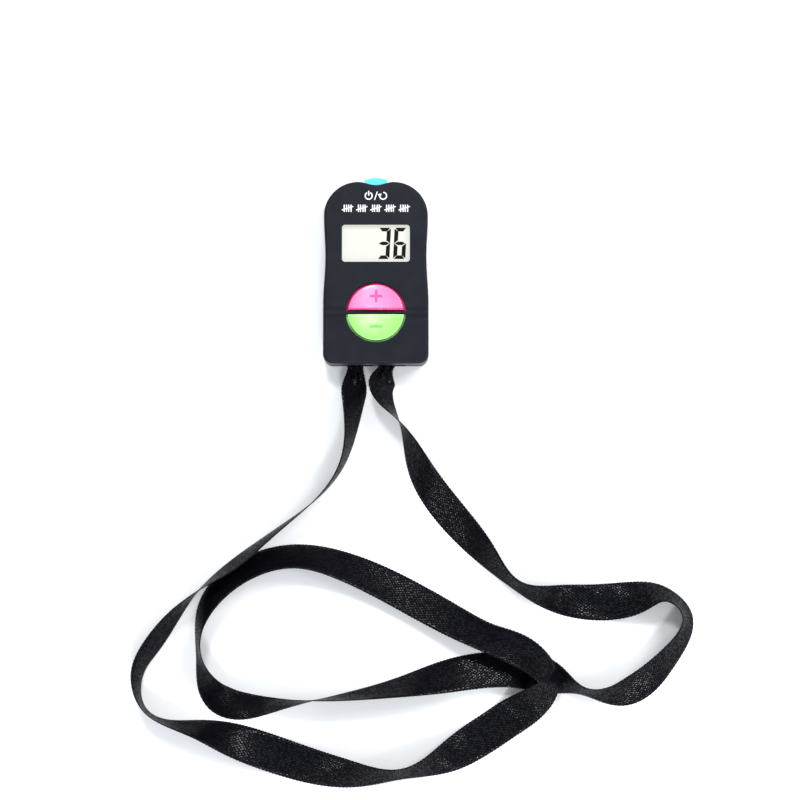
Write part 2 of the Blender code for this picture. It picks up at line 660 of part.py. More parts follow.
def ribbon_stations():
    """Places along the route, closer together where the ribbon twists and near its two ends."""
    route = np.array(ROUTE, float)
    knots = np.append(0, np.cumsum(np.linalg.norm(np.diff(route[:, :2], axis=0), axis=1)))
    fine = np.linspace(0, knots[-1], 4001)
    dense = natural_spline(knots, route, fine)
    effort = np.linalg.norm(np.diff(dense[:, :2], axis=0), axis=1) + 0.12 * np.abs(np.diff(dense[:, 3]))
    from_end = np.minimum(fine[:-1], knots[-1] - fine[1:])
    effort *= 1 + 2.5 * (from_end < 1.3 * GATHER_LENGTH)
    total = np.append(0, np.cumsum(effort))
    places = np.interp(np.linspace(0, total[-1], RIBBON_SECTIONS), total, fine)
    return natural_spline(knots, route, places), places, knots[-1]


def ribbon_sections():
    """Four corners of the ribbon at each station: two on its upper face, two on its lower."""
    stations, places, length = ribbon_stations()
    ahead = np.gradient(stations[:, :2], axis=0)
    ahead /= np.linalg.norm(ahead, axis=1)[:, None]
    sections = []
    for (x, y, lift, roll), (ahead_x, ahead_y), place in zip(stations, ahead, places):
        clear = min(place, length - place) - SLOT_DEPTH
        ease = min(max(clear / GATHER_LENGTH, 0.0), 1.0)
        ease = float(ease * ease * (3 - 2 * ease))
        half = RIBBON_WIDTH / 2 * (GATHERED + (1 - GATHERED) * ease)
        thick = RIBBON_THICKNESS * (1 + 0.8 * (1 - ease)) / 2
        across_flat, across_up = math.cos(math.radians(roll)), math.sin(math.radians(roll))
        across = Vector((-ahead_y * across_flat, ahead_x * across_flat, across_up))
        face = Vector((ahead_x, ahead_y, 0)).cross(across)
        middle = Vector((x, y, max(lift, 0.0) + half * abs(across_up) + thick))
        corners = ((1, 1), (-1, 1), (-1, -1), (1, -1))
        sections.append([middle + a * half * across + b * thick * face for a, b in corners])
    return sections


def strap(finish):
    bm = bmesh.new()
    rings = [[bm.verts.new(corner) for corner in section] for section in ribbon_sections()]
    bm.faces.new(reversed(rings[0]))
    for low, high in zip(rings, rings[1:]):
        # Both wide faces are split along the same diagonal, so that they stay parallel in a twist.
        for a, b, flip in ((0, 1, False), (1, 2, False), (2, 3, True), (3, 0, False)):
            if flip:
                bm.faces.new((low[a], low[b], high[a]))
                bm.faces.new((low[b], high[b], high[a]))
            else:
                bm.faces.new((low[a], low[b], high[b]))
                bm.faces.new((low[a], high[b], high[a]))
    bm.faces.new(rings[-1])
    new_part("strap", bm, finish)


def strap_knots(finish):
    """The stopper knots on the ribbon's two ends, inside the case."""
    rows, steps = 9, 18
    for name, centre in KNOT_PLACES.items():
        loops = []
        for row in range(rows):
            rise = -80 + 160 * row / (rows - 1)
            loop = []
            for turn in np.linspace(0, 360, steps, endpoint=False):
                lump = 1 - 0.1 * (0.5 + 0.5 * math.sin(math.radians(3 * turn + 2 * rise)))
                flat = math.cos(math.radians(rise)) * lump
                x = KNOT_SIZE[0] / 2 * flat * math.cos(math.radians(turn))
                y = KNOT_SIZE[1] / 2 * flat * math.sin(math.radians(turn))
                z = KNOT_SIZE[2] / 2 * math.sin(math.radians(rise))
                loop.append((centre[0] + x, centre[1] + y, centre[2] + z))
            loops.append(loop)
        bm = bmesh.new()
        add_loft(bm, loops)
        new_part(name, bm, finish)


def build():
    clear_scene()
    materials = make_materials()
    black, white = materials["black_plastic"], materials["white_plastic"]
    front_case(materials["case_plastic"])
    back_case(materials["case_plastic"])
    display(materials)
    circuit_board(materials)
    key("plus_button", 1, 0.95, materials["pink_plastic"])
    key("minus_button", -1, 0.5, materials["green_plastic"])
    power_key(materials["cyan_plastic"])
    key_switch("plus", 1, black, white)
    key_switch("minus", -1, black, white)
    power_switch(black, white)
    power_supply(materials)
    battery_door(materials["case_plastic"])
    fasteners(materials["steel"])
    strap(materials["ribbon"])
    strap_knots(materials["ribbon"])


build()
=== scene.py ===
"""The looks of a digital hand tally counter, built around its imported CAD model.

The counter lies on its back on a pale table, with its neck ribbon spread out below it. +X is to the
right of the face, +Y towards the power key and +Z out of the face. Outlines and heights are in
millimetres, and raw_object() turns them into the frame's metres.
"""

import json
import math

import bmesh
import bpy
import numpy as np
from mathutils import Matrix, Vector


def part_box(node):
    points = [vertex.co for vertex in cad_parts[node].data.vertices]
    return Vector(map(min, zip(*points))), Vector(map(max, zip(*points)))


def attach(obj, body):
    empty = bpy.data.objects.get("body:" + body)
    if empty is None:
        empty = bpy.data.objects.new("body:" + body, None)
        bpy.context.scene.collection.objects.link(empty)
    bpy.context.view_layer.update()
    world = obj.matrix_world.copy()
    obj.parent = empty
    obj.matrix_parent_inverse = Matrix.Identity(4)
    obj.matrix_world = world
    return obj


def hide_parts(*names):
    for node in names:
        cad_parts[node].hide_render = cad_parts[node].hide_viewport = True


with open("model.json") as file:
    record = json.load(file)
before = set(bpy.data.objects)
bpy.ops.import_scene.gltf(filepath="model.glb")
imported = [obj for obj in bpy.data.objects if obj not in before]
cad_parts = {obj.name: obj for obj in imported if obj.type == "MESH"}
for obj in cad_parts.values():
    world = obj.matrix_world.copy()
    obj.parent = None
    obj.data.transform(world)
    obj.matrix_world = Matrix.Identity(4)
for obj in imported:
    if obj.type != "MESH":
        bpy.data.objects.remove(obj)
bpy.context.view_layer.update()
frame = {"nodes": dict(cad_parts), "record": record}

MM = 0.001
SHARP_ANGLE = 34.0  # degrees: steeper edges stay crisp
ROOT = "counter"


def box_mm(node):
    low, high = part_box(node)
    return low / MM, high / MM


# Sizes read from the frame
FRONT_LOW, FRONT_HIGH = box_mm("front_case")
FACE_Z = FRONT_HIGH.z
TOP_Y = FRONT_HIGH.y
FOOT_HALF = FRONT_HIGH.x
PARTING_Z = FRONT_LOW.z
LIP_Z = box_mm("back_case")[1].z
KEY_CENTRE_Y = (box_mm("plus_button")[0].y + box_mm("minus_button")[1].y) / 2
POLARISER_LOW, POLARISER_HIGH = box_mm("lcd_polariser")
DISPLAY_Y = (POLARISER_LOW.y + POLARISER_HIGH.y) / 2
CELL_LOW, CELL_HIGH = box_mm("battery_cell")
CELL_Y = (CELL_LOW.y + CELL_HIGH.y) / 2
DOOR_LOW, DOOR_HIGH = box_mm("battery_door")
POWER_LOW, POWER_HIGH = box_mm("power_button")

# Case shape, as in the CAD model
WALL = 1.5
CEILING_Z = FACE_Z - 1.6
RIM_ROUND = 1.0
SEAM_ROUND = 0.22
BOTTOM_CORNER = 3.4
TOP_ARC = 12.4
SHOULDER_HALF = 18.8
WAIST_HALF = 18.25
WAIST_Y = 5.6
STRAIGHT_Y = -11.5
DIP = 1.15
LIP_INSET = 1.8
BACK_INSET = 2.5
BACK_WALL = 1.5
BACK_RIM_Z = LIP_Z - 1.1

# Keys: the flat is how far the straight edge lies from the middle of the bar between the keys
KEY_RADIUS = 10.1
KEY_OPENING_RADIUS = 10.8
BAR_HALF = 0.5
KEY_FLAT = 0.8
KEY_RIM = 0.45
KEY_FLANGE_RADIUS = 11.4
KEY_FLANGE_FLAT = 0.65
KEY_FLANGE_Z = (10.2, 11.1)
KEY_DOME_Z = 14.3
KEY_DOME_RADIUS = 60.0
SIDE_GROOVES = (1.5, -1.2)
POWER_FLANGE = 1.05
POWER_FLANGE_DEPTH = 1.4
POWER_BULGE = 0.8
POWER_NOTCH_DEPTH = 5.6

# Display
WINDOW_SIZE = (24.5, 13.5)
WINDOW_REBATE = (27.0, 16.0)
WINDOW_CORNER = 1.1
WINDOW_Z = (11.1, 12.7)
REBATE_Z = 12.1

# Print: how deep it is rooted, how far it stands out, and how much a crossing stroke adds
PRINT_ROOT = 0.2
PRINT_RISE = 0.03
PRINT_LAYER = 0.004

# Screws, cell bay and door: SCREW_X_Y gives the places on the right, which the left mirrors
SCREW_X_Y = ((13.2, 24.0), (14.6, -28.3))
FRONT_POST_RADIUS = 2.3
FRONT_POST_Z = 6.4
BACK_POST_RADIUS = 2.8
BACK_POST_Z = 6.1
PILOT_RADIUS = 0.95
PILOT_Z = (5.0, 10.4)
BAY_RADIUS = 6.1
DOOR_HALF = 6.8
TRACK_Z = 1.8
TONGUE_REACH = 1.1
TONGUE_LENGTH = 3.0
TONGUE_Y = (8.0, 17.0)
DOOR_TRAVEL = 4.0
GAP = 0.3
OUTSIDE = 1.0  # how far a cutter reaches past the surface that it opens

# Ribbon: it is gathered into pleats near its slots
RIBBON_WIDTH = 13.0
RIBBON_THICKNESS = 0.32
RIBBON_STEP = 0.62  # two steps make one picot of the edge
PICOT = 0.2
GATHER_LENGTHS = (11.0, 8.0)
GATHERED = 0.58
PLEAT = 0.75
SLOT_CENTRE_X = 5.8
SLOT_WIDTH = 9.6
SLOT_DEPTH = 2.6
SLOT_Z = (1.8, 7.0)

# The ribbon's route, as in the CAD model, in metres: x, y, height of its lower edge, and roll in
# degrees. At roll 0 it lies flat and at 90 or -90 it stands on its edge.
ROUTE = (
    (-0.0073, -0.0306, 0.0029, -12), (-0.0080, -0.0425, 0.0000, -46),
    (-0.0127, -0.0698, 0.0000, -84), (-0.0380, -0.0948, 0.0000, -101),
    (-0.0505, -0.1045, 0.0000, -108), (-0.0640, -0.1145, 0.0000, -92),
    (-0.0808, -0.1348, 0.0000, -66), (-0.0850, -0.1427, 0.0000, -75),
    (-0.0827, -0.1566, 0.0000, -92), (-0.0645, -0.1635, 0.0000, -67),
    (-0.0486, -0.1687, 0.0000, -26), (-0.0092, -0.1798, 0.0000, 37), (0.0085, -0.1797, 0.0000, 67),
    (0.0484, -0.1600, 0.0005, 0), (0.0614, -0.1454, 0.0070, 50), (0.0540, -0.1372, 0.0050, 32),
    (0.0414, -0.1317, 0.0028, 38), (0.0280, -0.1254, 0.0010, 31), (-0.0136, -0.1050, 0.0000, 41),
    (-0.0290, -0.1021, 0.0000, 50), (-0.0612, -0.1205, 0.0000, 60), (-0.0631, -0.1396, 0.0000, 73),
    (-0.0560, -0.1532, 0.0000, 31), (-0.0386, -0.1552, 0.0000, 58), (0.0110, -0.1483, 0.0000, 122),
    (0.0375, -0.1432, 0.0000, 160), (0.0590, -0.1445, 0.0000, 182), (0.0730, -0.1498, 0.0000, 253),
    (0.0890, -0.1510, 0.0000, 221), (0.1050, -0.1384, 0.0000, 229), (0.1117, -0.1228, 0.0000, 247),
    (0.1032, -0.1154, 0.0000, 245), (0.0932, -0.1170, 0.0000, 208), (0.0669, -0.1176, 0.0000, 145),
    (0.0506, -0.1124, 0.0000, 106), (0.0387, -0.1004, 0.0000, 129), (0.0163, -0.0711, 0.0000, 133),
    (0.0081, -0.0530, 0.0000, 87), (0.0021, -0.0415, 0.0000, 49), (0.0052, -0.0306, 0.0029, 12),
)


# Camera, light and table


def make_camera():
    lens = bpy.data.cameras.new("camera")
    lens.lens = 85.0
    lens.sensor_width = 36.0
    lens.clip_start = 0.01
    lens.clip_end = 50.0
    camera = bpy.data.objects.new("camera", lens)
    place = Vector((0.0087, -0.0955, 0.688))
    target = Vector((0.0087, -0.0462, 0.013))
    camera.location = place
    camera.rotation_euler = (target - place).to_track_quat("-Z", "Y").to_euler()
    bpy.context.scene.collection.objects.link(camera)
    bpy.context.scene.camera = camera


def make_softbox(name, place, size, power):
    light = bpy.data.lights.new(name, "AREA")
    light.shape = "RECTANGLE"
    light.size, light.size_y = size
    light.energy = power
    softbox = bpy.data.objects.new(name, light)
    softbox.location = place
    target = Vector((0.01, -0.07, 0.0))
    softbox.rotation_euler = (target - Vector(place)).to_track_quat("-Z", "Y").to_euler()
    bpy.context.scene.collection.objects.link(softbox)


def make_stage():
    world = bpy.data.worlds.new("studio")
    world.use_nodes = True
    background = world.node_tree.nodes["Background"]
    background.inputs["Color"].default_value = (0.93, 0.97, 1.0, 1.0)
    background.inputs["Strength"].default_value = 0.68
    bpy.context.scene.world = world
    bpy.context.scene.view_settings.view_transform = "Standard"

    make_softbox("softbox_right", (0.75, 0.55, 0.95), (0.5, 0.5), 9.0)
    make_softbox("softbox_back", (-0.15, 0.7, 1.22), (0.22, 0.22), 8.0)
    make_softbox("softbox_front", (0.1, -0.95, 1.1), (0.2, 0.2), 6.0)
    make_softbox("strip_front", (0.1, -1.4, 0.35), (0.5, 0.15), 4.0)
    make_softbox("spot_left", (-0.73, -0.95, 0.61), (0.14, 0.14), 1.8)
    make_softbox("spot_right", (0.69, -1.16, 0.2), (0.14, 0.14), 2.5)
    make_softbox("spot_side", (1.08, -0.22, 0.73), (0.14, 0.14), 2.5)

    half, thick, drop = 2500.0, 20.0, 0.02
    bm = bmesh.new()
    add_box(bm, (-half, -half, -thick), (half, half, -drop))
    floor = raw_object("table_top", bm)
    paper = bpy.data.materials.new("table_paper")
    paper.use_nodes = True
    shader = paper.node_tree.nodes["Principled BSDF"]
    shader.inputs["Base Color"].default_value = (0.93, 0.94, 0.96, 1.0)
    shader.inputs["Roughness"].default_value = 0.9
    shader.inputs["Specular IOR Level"].default_value = 0.2
    floor.data.materials.append(paper)


# Materials

# Each key's colours: the middle, where a painted sheen lies, the rest of the top, and the edges, whose colour
# is painted shade on the pink key and a painted highlight on the green one
PINKS = ((0.82, 0.34, 0.6), (0.82, 0.15, 0.38), (0.72, 0.01, 0.14))
GREENS = ((0.6, 0.82, 0.45), (0.25, 0.82, 0.13), (0.4, 0.92, 0.28))


class Shader:
    """A Principled material whose nodes are added and linked by short calls."""

    def __init__(self, name, colour, roughness, metallic=0.0, **sockets):
        self.material = bpy.data.materials.new(name)
        self.material.use_nodes = True
        self.tree = self.material.node_tree
        self.surface = self.tree.nodes["Principled BSDF"]
        self.set(self.surface, "Base Color", (*colour, 1.0))
        self.set(self.surface, "Roughness", roughness)
        self.set(self.surface, "Metallic", metallic)
        for socket, value in sockets.items():
            self.set(self.surface, socket.replace("_", " "), value)
        self.place = self.add("ShaderNodeTexCoord").outputs["Object"]

    def add(self, kind, **settings):
        node = self.tree.nodes.new(kind)
        for setting, value in settings.items():
            setattr(node, setting, value)
        return node

    def set(self, node, socket, value):
        """Links an output to the socket, or writes a plain value into it."""
        if isinstance(value, bpy.types.NodeSocket):
            self.tree.links.new(value, node.inputs[socket])
        else:
            node.inputs[socket].default_value = value

    def noise(self, size, detail=3.0, vector=None):
        """Noise between 0 and 1 whose spots are about the size, in millimetres."""
        node = self.add("ShaderNodeTexNoise")
        self.set(node, "Vector", vector or self.place)
        self.set(node, "Scale", 1.0 / (size * MM))
        self.set(node, "Detail", detail)
        return node.outputs["Fac"]

    def math(self, operation, first, second=0.0, third=0.0):
        node = self.add("ShaderNodeMath", operation=operation)
        for socket, value in enumerate((first, second, third)):
            self.set(node, socket, value)
        return node.outputs["Value"]

    def spread(self, value, low, high, start=0.3, end=0.7):
        """The value between start and end becomes a value between low and high."""
        node = self.add("ShaderNodeMapRange")
        for socket, number in zip(("From Min", "From Max", "To Min", "To Max"), (start, end, low, high)):
            self.set(node, socket, number)
        self.set(node, "Value", value)
        return node.outputs["Result"]

    def blend(self, share, first, second):
        node = self.add("ShaderNodeMix", data_type="RGBA")
        self.set(node, "Factor", share)
        for socket, colour in (("A", first), ("B", second)):
            plug = next(i for i in node.inputs if i.name == socket and i.type == "RGBA")
            if isinstance(colour, bpy.types.NodeSocket):
                self.tree.links.new(colour, plug)
            else:
                plug.default_value = (*colour, 1.0)
        return next(o for o in node.outputs if o.type == "RGBA")

    def bump(self, height, depth, strength=1.0, below=None):
        """Bump whose full height is the depth, in millimetres, on top of another bump."""
        node = self.add("ShaderNodeBump")
        self.set(node, "Height", height)
        self.set(node, "Distance", depth * MM)
        self.set(node, "Strength", strength)
        if below is not None:
            self.set(node, "Normal", below)
        return node.outputs["Normal"]

    def split(self, vector):
        node = self.add("ShaderNodeSeparateXYZ")
        self.set(node, "Vector", vector)
        return node.outputs


def moulded(name, colour, roughness, grain=0.16, depth=0.006, tint=0.12, **sockets):
    """Moulded plastic: fine spark-eroded grain, faint flow clouds and a little uneven gloss."""
    made = Shader(name, colour, roughness, **sockets)
    clouds = made.noise(7.0, 2.0)
    lighter = [min(1.0, c * (1 + tint) + 0.002) for c in colour]
    darker = [c * (1 - tint) for c in colour]
    made.set(made.surface, "Base Color", made.blend(made.spread(clouds, 0.0, 1.0), darker, lighter))
    gloss = made.spread(made.noise(1.4), roughness - 0.06, roughness + 0.06)
    made.set(made.surface, "Roughness", gloss)
    fine = made.bump(made.noise(grain, 2.0), depth)
    made.set(made.surface, "Normal", made.bump(clouds, 0.02, 0.5, fine))
    return made


def case_plastic():
    """Dark blue-grey plastic with a satin texture that shines at a glancing angle."""
    made = moulded("case_plastic", (0.0036, 0.0046, 0.0102), 0.5, depth=0.012, tint=0.18)
    glance = made.add("ShaderNodeLayerWeight").outputs["Facing"]
    made.set(made.surface, "Specular IOR Level", made.spread(glance, 0.17, 0.9, 0.7, 0.98))
    return made


def key_plastic(name, colours, side):
    """Glossy key plastic with painted light: a painted sheen in the middle, paler towards the left and
    mottled by noise, and a painted rim colour in its edges, painted shade on the pink key and a painted
    highlight on the green one.
    """
    pale, full, painted_rim_colour = colours
    made = moulded(name, full, 0.3, 0.3, 0.004, 0.05, Coat_Weight=0.25, Coat_Roughness=0.12)
    place = made.split(made.place)
    up = made.math("SUBTRACT", place["Y"], KEY_CENTRE_Y * MM)
    across_square = made.math("MULTIPLY", place["X"], place["X"])
    reach = made.math("SQRT", made.math("MULTIPLY_ADD", up, up, across_square))
    # The round rim and the straight edge take the painted rim colour: painted shade on the pink key, a
    # painted highlight on the green one.
    rim = made.spread(reach, 0.0, 1.0, (KEY_RADIUS - 0.4) * MM, (KEY_RADIUS - 0.1) * MM)
    flat_low, flat_high = (KEY_FLAT + 0.35) * MM, (KEY_FLAT + 0.85) * MM
    flat = made.spread(made.math("MULTIPLY", up, side), 1.0, 0.0, flat_low, flat_high)
    edge = made.math("MAXIMUM", rim, flat)
    # Painted sheen: paler towards the middle and the left, and mottled by noise.
    left = made.spread(place["X"], 1.0, 0.25, -4 * MM, 7 * MM)
    middle = made.math("MULTIPLY", left, made.spread(reach, 1.0, 0.0, 3.5 * MM, 9.8 * MM))
    painted_sheen = made.math("MULTIPLY", middle, made.spread(made.noise(2.6), 0.55, 1.0))
    made.set(made.surface, "Base Color", made.blend(edge, made.blend(painted_sheen, full, pale), painted_rim_colour))
    return made


def satin_ribbon():
    """Black satin: each thread's float is a small pillow that can catch the light."""
    made = Shader("satin_ribbon", (0.003, 0.003, 0.005), 0.34)
    weave = made.add("ShaderNodeAttribute", attribute_name="weave").outputs["Vector"]
    turn = made.add("ShaderNodeMapping")
    made.set(turn, "Vector", weave)
    turn.inputs["Rotation"].default_value = (0.0, 0.0, math.radians(42.0))
    turn.inputs["Scale"].default_value = (1.3, 0.9, 1.0)
    floats = made.add("ShaderNodeTexVoronoi", voronoi_dimensions="2D")
    made.set(floats, "Vector", turn.outputs["Vector"])
    made.set(floats, "Scale", 1.0)
    made.set(floats, "Randomness", 0.4)
    threads = made.add("ShaderNodeTexWave", wave_type="BANDS", bands_direction="Y")
    made.set(threads, "Vector", weave)
    made.set(threads, "Scale", 1.6)
    made.set(threads, "Distortion", 0.6)
    across = made.math("ABSOLUTE", made.split(weave)["X"])
    selvedge = made.spread(across, 0.0, 1.0, 5.35, 5.6)
    tone = made.split(floats.outputs["Color"])["X"]
    crown = made.spread(floats.outputs["Distance"], 1.0, 0.0, 0.12, 0.38)
    shine = made.math("MULTIPLY", crown, made.spread(tone, 0.2, 1.0, 0.2, 0.8))
    made.set(made.surface, "Roughness", made.spread(shine, 0.3, 0.11, 0.0, 1.0))
    glance = made.add("ShaderNodeLayerWeight").outputs["Facing"]
    facing = made.spread(glance, 1.0, 0.12, 0.15, 0.65)
    level = made.math("MULTIPLY", made.spread(shine, 0.02, 0.5, 0.0, 1.0), facing)
    made.set(made.surface, "Specular IOR Level", level)
    shade = made.spread(tone, 0.0, 1.0, 0.1, 0.9)
    thread = made.blend(shade, (0.0025, 0.0025, 0.004), (0.0045, 0.0045, 0.007))
    made.set(made.surface, "Base Color", made.blend(selvedge, thread, (0.005, 0.005, 0.008)))
    fine = made.bump(threads.outputs["Fac"], 0.02, 0.35)
    plain = made.math("SUBTRACT", 1.0, made.math("MULTIPLY", selvedge, 0.7))
    pillows = made.math("MULTIPLY", made.math("SUBTRACT", 1.0, floats.outputs["Distance"]), plain)
    made.set(made.surface, "Normal", made.bump(pillows, 0.055, 0.9, fine))
    return made


def brushed(name, colour, roughness):
    made = Shader(name, colour, roughness, 1.0)
    stretch = made.add("ShaderNodeMapping")
    made.set(stretch, "Vector", made.place)
    stretch.inputs["Scale"].default_value = (1.0, 12.0, 1.0)
    lines = made.noise(0.9, 2.0, stretch.outputs["Vector"])
    made.set(made.surface, "Roughness", made.spread(lines, roughness - 0.08, roughness + 0.12))
    made.set(made.surface, "Normal", made.bump(lines, 0.004))
    tarnish = made.spread(made.noise(2.2), 0.0, 1.0)
    made.set(made.surface, "Base Color", made.blend(tarnish, [c * 0.8 for c in colour], colour))
    return made


def board_mask():
    """Green solder resist with the lines of the copper under it."""
    made = Shader("solder_resist", (0.02, 0.2, 0.07), 0.3)
    tracks = made.add("ShaderNodeTexBrick", offset=0.5)
    made.set(tracks, "Vector", made.place)
    made.set(tracks, "Scale", 1.0)
    made.set(tracks, "Brick Width", 5.5 * MM)
    made.set(tracks, "Row Height", 1.6 * MM)
    made.set(tracks, "Mortar Size", 0.22 * MM)
    line = tracks.outputs["Fac"]
    made.set(made.surface, "Base Color", made.blend(line, (0.015, 0.16, 0.055), (0.05, 0.32, 0.11)))
    made.set(made.surface, "Normal", made.bump(line, 0.03))
    return made


def clear_plastic():
    made = Shader("clear_plastic", (0.12, 0.13, 0.12), 0.06, Alpha=0.03, IOR=1.49)
    made.set(made.surface, "Roughness", made.spread(made.noise(3.0), 0.04, 0.1))
    made.set(made.surface, "Normal", made.bump(made.noise(9.0, 1.0), 0.01))
    return made


def glowing_display_film():
    """The pale front film of the display, with a faint pearly unevenness and a painted glow: its emission is
    painted light that evens out the shade of the window's rim.
    """
    # Emission: painted light that lifts the shade which the window's rim casts on the film
    made = Shader("glowing_display_film", (0.222, 0.225, 0.213), 0.42, Emission_Strength=0.65)
    made.surface.inputs["Emission Color"].default_value = (1.0, 1.0, 0.9, 1.0)
    pearl = made.spread(made.noise(6.0), 0.0, 1.0)
    made.set(made.surface, "Base Color", made.blend(pearl, (0.215, 0.218, 0.205), (0.23, 0.233, 0.22)))
    made.set(made.surface, "Roughness", made.spread(made.noise(0.5), 0.36, 0.48))
    made.set(made.surface, "Normal", made.bump(made.noise(0.12), 0.002))
    return made


def ink(name, colour, roughness, **sockets):
    """Printed ink: slightly uneven cover and a faint grain."""
    made = Shader(name, colour, roughness, **sockets)
    cover = made.spread(made.noise(0.35), 0.0, 1.0)
    made.set(made.surface, "Base Color", made.blend(cover, [c * 0.86 for c in colour], colour))
    made.set(made.surface, "Normal", made.bump(made.noise(0.1), 0.003))
    return made


def make_materials():
    shaders = {
        "case_plastic": case_plastic(),
        "pink_plastic": key_plastic("pink_plastic", PINKS, 1),
        "green_plastic": key_plastic("green_plastic", GREENS, -1),
        "cyan_plastic": moulded("cyan_plastic", (0.12, 0.79, 0.87), 0.3, 0.3, 0.004, 0.05),
        "clear_plastic": clear_plastic(),
        "display_face": glowing_display_film(),
        "display_glass": moulded("display_glass", (0.7, 0.85, 0.8), 0.1, Alpha=0.4),
        "white_plastic": moulded("white_plastic", (0.8, 0.8, 0.77), 0.45),
        "black_plastic": moulded("black_plastic", (0.015, 0.015, 0.016), 0.42),
        "silicone": moulded("silicone", (0.2, 0.2, 0.22), 0.65),
        "board": board_mask(),
        "ceramic": moulded("ceramic", (0.45, 0.3, 0.18), 0.4),
        "steel": brushed("steel", (0.62, 0.62, 0.6), 0.32),
        "cell_steel": brushed("cell_steel", (0.72, 0.72, 0.7), 0.22),
        "contact_brass": brushed("contact_brass", (0.78, 0.58, 0.26), 0.28),
        "ribbon": satin_ribbon(),
        "white_ink": ink("white_ink", (0.86, 0.88, 0.9), 0.5),
        "pink_ink": ink("pink_ink", (0.86, 0.05, 0.28), 0.4),
        "green_ink": ink("green_ink", (0.16, 0.82, 0.1), 0.4),
        "segment_ink": ink("segment_ink", (0.001, 0.001, 0.001), 0.5, Specular_IOR_Level=0.03),
    }
    return {name: shader.material for name, shader in shaders.items()}


# Outlines: closed lists of (x, y), counter-clockwise


def arc(centre_x, centre_y, radius, start, end, steps):
    angles = np.radians(np.linspace(start, end, steps + 1))
    return [(centre_x + radius * math.cos(a), centre_y + radius * math.sin(a)) for a in angles]


def circle(centre_x, centre_y, radius, steps):
    return arc(centre_x, centre_y, radius, 0, 360, steps)[:-1]


def rectangle(low_x, low_y, high_x, high_y):
    return [(low_x, low_y), (high_x, low_y), (high_x, high_y), (low_x, high_y)]


def rounded_rectangle(centre_x, centre_y, size, corner):
    half_x = size[0] / 2 - corner
    half_y = size[1] / 2 - corner
    corners = ((half_x, -half_y, -90), (half_x, half_y, 0), (-half_x, half_y, 90), (-half_x, -half_y, 180))
    points = []
    for x, y, start in corners:
        points += arc(centre_x + x, centre_y + y, corner, start, start + 90, 8)
    return points


def half_disc(radius, flat, side):
    """The half of a key's disc on one side (1 up, -1 down), cut off at the flat."""
    start = math.degrees(math.asin(flat / radius))
    points = arc(0.0, 0.0, radius, start, 180 - start, 72)
    reach = radius * math.cos(math.radians(start))
    points += [(reach * share, flat) for share in np.linspace(-0.9, 0.9, 19)]
    return [(side * x, KEY_CENTRE_Y + side * y) for x, y in points]


def inset(points, distance):
    """The closed outline moved inwards, with its corners kept sharp."""
    ring = np.array(points)
    edges = np.roll(ring, -1, axis=0) - ring
    edges /= np.linalg.norm(edges, axis=1)[:, None]
    after = np.stack([edges[:, 1], -edges[:, 0]], axis=1)
    before = np.roll(after, 1, axis=0)
    spread = 1 + (after * before).sum(axis=1)
    moved = ring - distance * (after + before) / spread[:, None]
    return [tuple(point) for point in moved]


def case_half_width(y):
    """Half the case's width: straight at the bottom, drawn in at the waist."""
    if y <= STRAIGHT_Y:
        return FOOT_HALF
    if y <= WAIST_Y:
        share = (y - STRAIGHT_Y) / (WAIST_Y - STRAIGHT_Y)
        low, high = FOOT_HALF, WAIST_HALF
    else:
        share = (y - WAIST_Y) / (TOP_Y - TOP_ARC - WAIST_Y)
        low, high = WAIST_HALF, SHOULDER_HALF
    return low + (high - low) * (1 - math.cos(math.pi * share)) / 2


def case_outline():
    """Square foot, slim waist, and two round shoulders with a hollow between them."""
    foot_x = FOOT_HALF - BOTTOM_CORNER
    foot_y = -TOP_Y + BOTTOM_CORNER
    shoulder_x = SHOULDER_HALF - TOP_ARC
    shoulder_y = TOP_Y - TOP_ARC
    right = arc(foot_x, foot_y, BOTTOM_CORNER, -90, 0, 16)
    right += [(case_half_width(y), y) for y in np.linspace(STRAIGHT_Y, shoulder_y, 40)[:-1]]
    right += arc(shoulder_x, shoulder_y, TOP_ARC, 0, 90, 36)
    for share in np.linspace(1, 0, 14)[1:-1]:
        drop = DIP * (1 + math.cos(math.pi * share)) / 2
        right.append((shoulder_x * share, TOP_Y - drop))
    left = [(-x, y) for x, y in reversed(right)]
    return [*right, (0.0, TOP_Y - DIP), *left]


def straight(start, end, count=5):
    """Points evenly along a straight line."""
    return [tuple(point) for point in np.linspace(start, end, count)]


def stroke(points, width, steps=8):
    """The outline of a round-ended pen stroke along the points."""
    line = np.array(points, float)
    ahead = np.gradient(line, axis=0)
    ahead /= np.linalg.norm(ahead, axis=1)[:, None]
    side = np.stack([ahead[:, 1], -ahead[:, 0]], axis=1) * width / 2
    angles = np.degrees(np.arctan2(ahead[:, 1], ahead[:, 0]))
    right = [tuple(p) for p in (line + side)[1:-1]]
    left = [tuple(p) for p in (line - side)[1:-1][::-1]]
    cap = arc(*line[-1], width / 2, angles[-1] - 90, angles[-1] + 90, steps)
    tail = arc(*line[0], width / 2, angles[0] + 90, angles[0] + 270, steps)
    return [*right, *cap, *left, *tail]


# Solids


def at_z(points, z):
    return [(x, y, z) for x, y in points]


def add_loft(bm, loops):
    """A closed solid through loops of equal length, filled at both ends. It gives back its vertices."""
    rings = [[bm.verts.new(point) for point in loop] for loop in loops]
    bm.faces.new(reversed(rings[0]))
    for low, high in zip(rings, rings[1:]):
        for here in range(len(low)):
            after = (here + 1) % len(low)
            bm.faces.new((low[here], low[after], high[after], high[here]))
    bm.faces.new(rings[-1])
    return rings


def add_prism(bm, points, low_z, high_z):
    add_loft(bm, [at_z(points, low_z), at_z(points, high_z)])


def add_box(bm, low, high):
    add_prism(bm, rectangle(low[0], low[1], high[0], high[1]), low[2], high[2])


